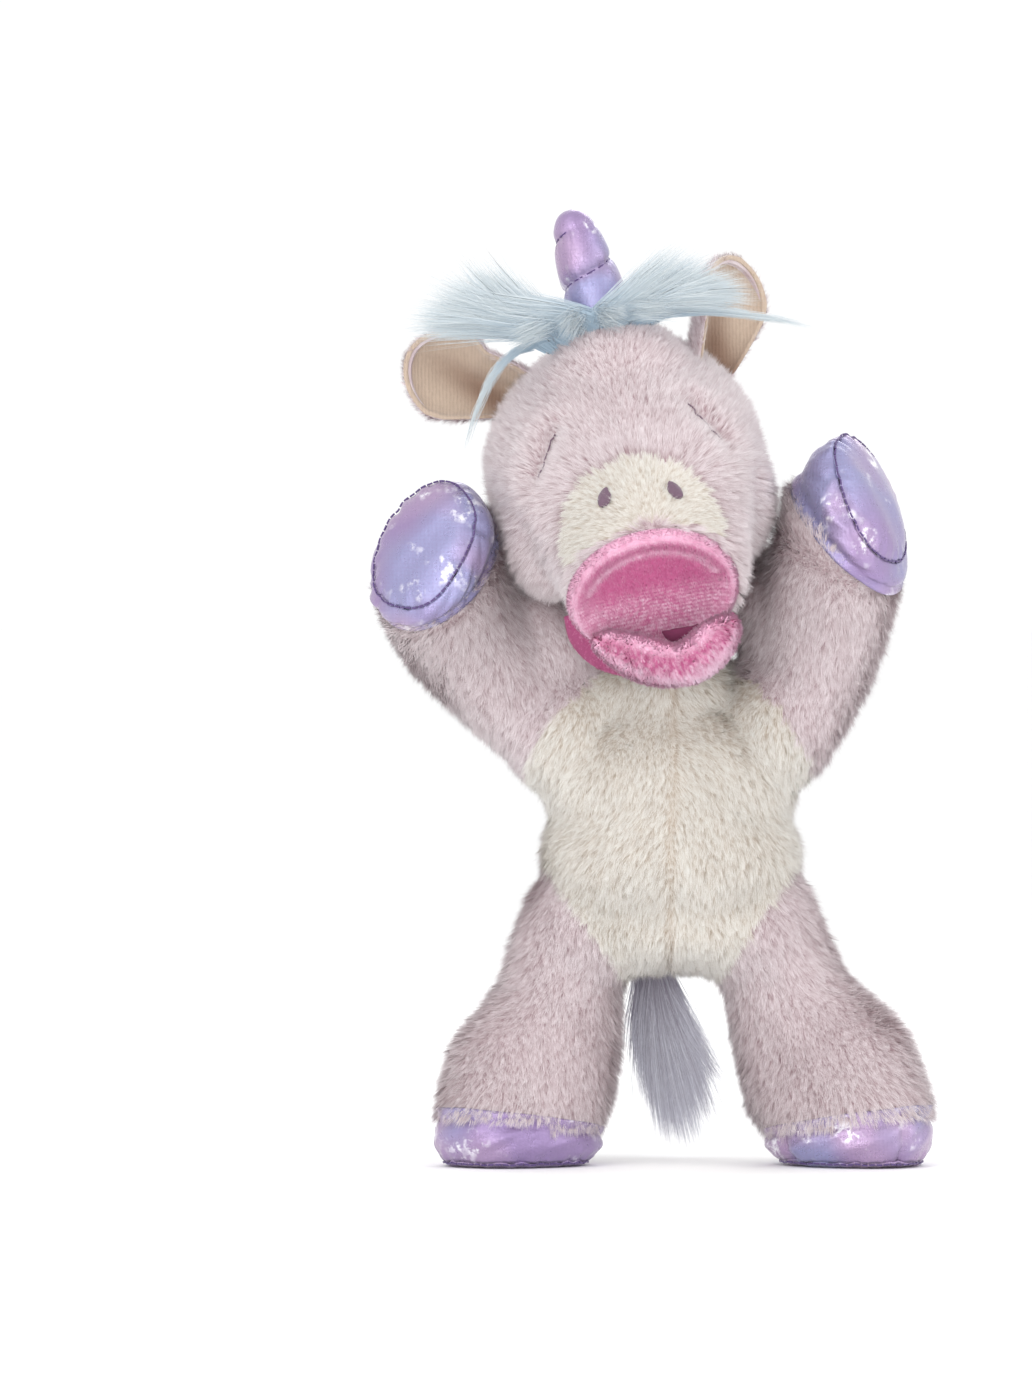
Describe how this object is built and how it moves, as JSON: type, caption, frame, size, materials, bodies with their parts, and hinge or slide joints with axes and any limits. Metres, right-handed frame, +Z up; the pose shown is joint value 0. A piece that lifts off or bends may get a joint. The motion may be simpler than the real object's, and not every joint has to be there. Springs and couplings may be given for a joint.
{
  "type": "plush unicorn",
  "caption": "Soft standing plush unicorn with raised front legs, a foil horn and hooves, an open velvet mouth and a long-pile forelock and tail.",
  "frame": {"origin": "on the floor, under the middle of the whole toy", "axes": "+Z up, the face looks towards -Y, the toy's left side is at +X"},
  "size_m": [0.1504, 0.1018, 0.2564],
  "materials": {
    "lilac_fur": "matte",
    "cream_fur": "matte",
    "lilac_foil": "gloss",
    "pink_velvet": "satin",
    "ear_velour": "matte",
    "blue_pile": "matte",
    "grey_pile": "matte",
    "white_fill": "matte",
    "mauve_thread": "satin",
    "satin_label": "satin"
  },
  "bodies": {
    "torso": {"torso_cover": "lilac_fur", "left_tummy_panel": "cream_fur", "right_tummy_panel": "cream_fur", "torso_stuffing": "white_fill", "care_label": "satin_label"},
    "neck": {"neck_stuffing": "lilac_fur"},
    "head": {"head_cover": "lilac_fur", "snout_patch": "cream_fur", "head_stuffing": "white_fill", "left_nostril": "mauve_thread", "right_nostril": "mauve_thread", "left_eye_stitch": "mauve_thread", "right_eye_stitch": "mauve_thread", "mouth_palate": "pink_velvet", "mouth_gusset": "pink_velvet", "forelock": "blue_pile", "mane": "blue_pile"},
    "jaw": {"lower_lip": "pink_velvet", "lip_wadding": "white_fill"},
    "horn": {"horn_cover": "lilac_foil", "horn_stuffing": "white_fill", "horn_thread": "mauve_thread"},
    "left_ear": {"left_ear_fur": "lilac_fur", "left_ear_lining": "ear_velour"},
    "right_ear": {"right_ear_fur": "lilac_fur", "right_ear_lining": "ear_velour"},
    "left_arm": {"left_arm_cover": "lilac_fur", "left_arm_stuffing": "white_fill", "left_arm_hoof_cuff": "lilac_foil", "left_arm_hoof_sole": "lilac_foil"},
    "right_arm": {"right_arm_cover": "lilac_fur", "right_arm_stuffing": "white_fill", "right_arm_hoof_cuff": "lilac_foil", "right_arm_hoof_sole": "lilac_foil"},
    "left_leg": {"left_leg_cover": "lilac_fur", "left_leg_stuffing": "white_fill", "left_leg_hoof_cuff": "lilac_foil", "left_leg_hoof_sole": "lilac_foil"},
    "right_leg": {"right_leg_cover": "lilac_fur", "right_leg_stuffing": "white_fill", "right_leg_hoof_cuff": "lilac_foil", "right_leg_hoof_sole": "lilac_foil"},
    "tail": {"tail_pile": "grey_pile"}
  },
  "joints": [
    {"name": "neck_turn", "type": "hinge", "parent": "torso", "child": "neck", "pos_m": [-0.00056, 0.01075, 0.1525], "axis": [0, 0, 1], "range_deg": [-14, 16]},
    {"name": "head_nod", "type": "hinge", "parent": "neck", "child": "head", "pos_m": [-0.00056, 0.01075, 0.1525], "axis": [0.9803, 0.0514, 0.1908], "range_deg": [-20, 8]},
    {"name": "jaw_flex", "type": "hinge", "parent": "head", "child": "jaw", "pos_m": [0.00313, -0.03275, 0.14531], "axis": [0.9803, 0.0514, 0.1908], "range_deg": [-12, 4], "stiffness_Nm_per_rad": 0.01},
    {"name": "horn_wobble", "type": "hinge", "parent": "head", "child": "horn", "pos_m": [-0.0143, 0.00439, 0.22482], "axis": [-0.0523, 0.9986, 0], "range_deg": [-7, 7], "stiffness_Nm_per_rad": 0.03},
    {"name": "left_ear_flex", "type": "hinge", "parent": "head", "child": "left_ear", "pos_m": [0.02056, 0.01323, 0.21839], "axis": [0.7116, 0.7026, -0.007], "range_deg": [-12, 12], "stiffness_Nm_per_rad": 0.01},
    {"name": "right_ear_flex", "type": "hinge", "parent": "head", "child": "right_ear", "pos_m": [-0.04289, 0.0099, 0.20545], "axis": [0.5393, -0.1877, 0.821], "range_deg": [-12, 12], "stiffness_Nm_per_rad": 0.01},
    {"name": "left_shoulder", "type": "hinge", "parent": "torso", "child": "left_arm", "pos_m": [0.03944, 0.01075, 0.121], "axis": [0, 1, 0], "range_deg": [0, 105]},
    {"name": "right_shoulder", "type": "hinge", "parent": "torso", "child": "right_arm", "pos_m": [-0.03046, 0.01075, 0.1195], "axis": [0, -1, 0], "range_deg": [0, 85]},
    {"name": "left_hip", "type": "hinge", "parent": "torso", "child": "left_leg", "pos_m": [0.03294, 0.01075, 0.06], "axis": [-1, 0, 0], "range_deg": [-15, 85]},
    {"name": "right_hip", "type": "hinge", "parent": "torso", "child": "right_leg", "pos_m": [-0.02306, 0.01075, 0.06], "axis": [-1, 0, 0], "range_deg": [-15, 85]},
    {"name": "tail_swing", "type": "hinge", "parent": "torso", "child": "tail", "pos_m": [0.00294, 0.03275, 0.064], "axis": [1, 0, 0], "range_deg": [0, 60]}
  ]
}
